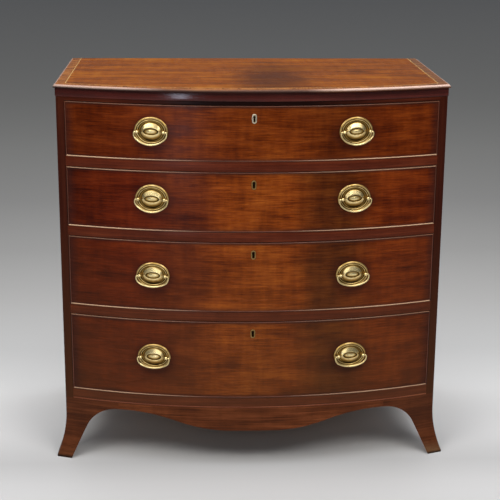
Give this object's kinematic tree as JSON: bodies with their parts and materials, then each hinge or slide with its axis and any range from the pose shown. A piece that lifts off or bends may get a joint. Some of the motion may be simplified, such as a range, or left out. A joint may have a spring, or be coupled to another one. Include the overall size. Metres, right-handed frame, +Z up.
{
  "type": "bow front chest of drawers",
  "caption": "Mahogany chest of long graduated drawers with a bowed front, cockbeads, oval brass swing handles, banded top, shaped apron and splayed bracket feet.",
  "frame": {"origin": "on the floor, under the middle of the chest's overall width and depth", "axes": "+X to the viewer's right along the width, +Y from the bowed front to the back, +Z up"},
  "size_m": [1.081, 0.6219, 1.042],
  "materials": {
    "top_wood": "polished mahogany, faded warm brown",
    "crossband_wood": "polished crossbanded mahogany, grain across the band",
    "boxwood": "polished boxwood stringing",
    "case_wood": "polished dark red mahogany",
    "drawer_wood": "polished figured mahogany",
    "bead_wood": "polished mahogany bead",
    "oak": "bare oak",
    "pine": "bare aged pine",
    "brass": "old lacquered brass, dark in the hollows",
    "lock_iron": "dull filed iron"
  },
  "bodies": {
    "carcase": {"top_board": "top_wood", "top_crossband": "crossband_wood", "top_stringing": "boxwood", "side_right": "case_wood", "side_left": "case_wood", "back_boards": "pine", "frieze": "case_wood", "front_rails": "case_wood", "runners": "pine", "bottom_and_dustboards": "pine", "drawer_stops": "pine", "front_feet": "case_wood", "back_feet": "case_wood", "side_aprons": "case_wood", "apron": "case_wood", "glue_blocks": "pine"},
    "drawer1": {"drawer1_front": "drawer_wood", "drawer1_cockbead": "bead_wood", "drawer1_linings": "oak", "drawer1_bottom": "oak", "drawer1_lock": "lock_iron", "drawer1_escutcheon": "brass", "drawer1_plates": "brass", "drawer1_posts": "brass"},
    "drawer1_bolt": {"drawer1_bolt": "lock_iron"},
    "drawer1_bail_left": {"drawer1_bail_left": "brass"},
    "drawer1_bail_right": {"drawer1_bail_right": "brass"},
    "drawer2": {"drawer2_front": "drawer_wood", "drawer2_cockbead": "bead_wood", "drawer2_linings": "oak", "drawer2_bottom": "oak", "drawer2_lock": "lock_iron", "drawer2_escutcheon": "brass", "drawer2_plates": "brass", "drawer2_posts": "brass"},
    "drawer2_bolt": {"drawer2_bolt": "lock_iron"},
    "drawer2_bail_left": {"drawer2_bail_left": "brass"},
    "drawer2_bail_right": {"drawer2_bail_right": "brass"},
    "drawer3": {"drawer3_front": "drawer_wood", "drawer3_cockbead": "bead_wood", "drawer3_linings": "oak", "drawer3_bottom": "oak", "drawer3_lock": "lock_iron", "drawer3_escutcheon": "brass", "drawer3_plates": "brass", "drawer3_posts": "brass"},
    "drawer3_bolt": {"drawer3_bolt": "lock_iron"},
    "drawer3_bail_left": {"drawer3_bail_left": "brass"},
    "drawer3_bail_right": {"drawer3_bail_right": "brass"},
    "drawer4": {"drawer4_front": "drawer_wood", "drawer4_cockbead": "bead_wood", "drawer4_linings": "oak", "drawer4_bottom": "oak", "drawer4_lock": "lock_iron", "drawer4_escutcheon": "brass", "drawer4_plates": "brass", "drawer4_posts": "brass"},
    "drawer4_bolt": {"drawer4_bolt": "lock_iron"},
    "drawer4_bail_left": {"drawer4_bail_left": "brass"},
    "drawer4_bail_right": {"drawer4_bail_right": "brass"}
  },
  "joints": [
    {"name": "drawer1_slide", "type": "slide", "parent": "carcase", "child": "drawer1", "axis": [0, -1, 0], "range_m": [0, 0.36]},
    {"name": "drawer1_bolt_slide", "type": "slide", "parent": "drawer1", "child": "drawer1_bolt", "axis": [0, 0, 1], "range_m": [0, 0.008]},
    {"name": "drawer1_bail_left_hinge", "type": "hinge", "parent": "drawer1", "child": "drawer1_bail_left", "pos_m": [-0.26737, -0.2914, 0.93], "axis": [-0.9832, 0.1825, 0], "range_deg": [-6, 165]},
    {"name": "drawer1_bail_right_hinge", "type": "hinge", "parent": "drawer1", "child": "drawer1_bail_right", "pos_m": [0.26737, -0.2914, 0.93], "axis": [-0.9832, -0.1825, 0], "range_deg": [-6, 165]},
    {"name": "drawer2_slide", "type": "slide", "parent": "carcase", "child": "drawer2", "axis": [0, -1, 0], "range_m": [0, 0.36]},
    {"name": "drawer2_bolt_slide", "type": "slide", "parent": "drawer2", "child": "drawer2_bolt", "axis": [0, 0, 1], "range_m": [0, 0.008]},
    {"name": "drawer2_bail_left_hinge", "type": "hinge", "parent": "drawer2", "child": "drawer2_bail_left", "pos_m": [-0.26737, -0.2914, 0.752], "axis": [-0.9832, 0.1825, 0], "range_deg": [-6, 165]},
    {"name": "drawer2_bail_right_hinge", "type": "hinge", "parent": "drawer2", "child": "drawer2_bail_right", "pos_m": [0.26737, -0.2914, 0.752], "axis": [-0.9832, -0.1825, 0], "range_deg": [-6, 165]},
    {"name": "drawer3_slide", "type": "slide", "parent": "carcase", "child": "drawer3", "axis": [0, -1, 0], "range_m": [0, 0.36]},
    {"name": "drawer3_bolt_slide", "type": "slide", "parent": "drawer3", "child": "drawer3_bolt", "axis": [0, 0, 1], "range_m": [0, 0.008]},
    {"name": "drawer3_bail_left_hinge", "type": "hinge", "parent": "drawer3", "child": "drawer3_bail_left", "pos_m": [-0.26737, -0.2914, 0.544], "axis": [-0.9832, 0.1825, 0], "range_deg": [-6, 165]},
    {"name": "drawer3_bail_right_hinge", "type": "hinge", "parent": "drawer3", "child": "drawer3_bail_right", "pos_m": [0.26737, -0.2914, 0.544], "axis": [-0.9832, -0.1825, 0], "range_deg": [-6, 165]},
    {"name": "drawer4_slide", "type": "slide", "parent": "carcase", "child": "drawer4", "axis": [0, -1, 0], "range_m": [0, 0.36]},
    {"name": "drawer4_bolt_slide", "type": "slide", "parent": "drawer4", "child": "drawer4_bolt", "axis": [0, 0, 1], "range_m": [0, 0.008]},
    {"name": "drawer4_bail_left_hinge", "type": "hinge", "parent": "drawer4", "child": "drawer4_bail_left", "pos_m": [-0.26737, -0.2914, 0.31475], "axis": [-0.9832, 0.1825, 0], "range_deg": [-6, 165]},
    {"name": "drawer4_bail_right_hinge", "type": "hinge", "parent": "drawer4", "child": "drawer4_bail_right", "pos_m": [0.26737, -0.2914, 0.31475], "axis": [-0.9832, -0.1825, 0], "range_deg": [-6, 165]}
  ]
}
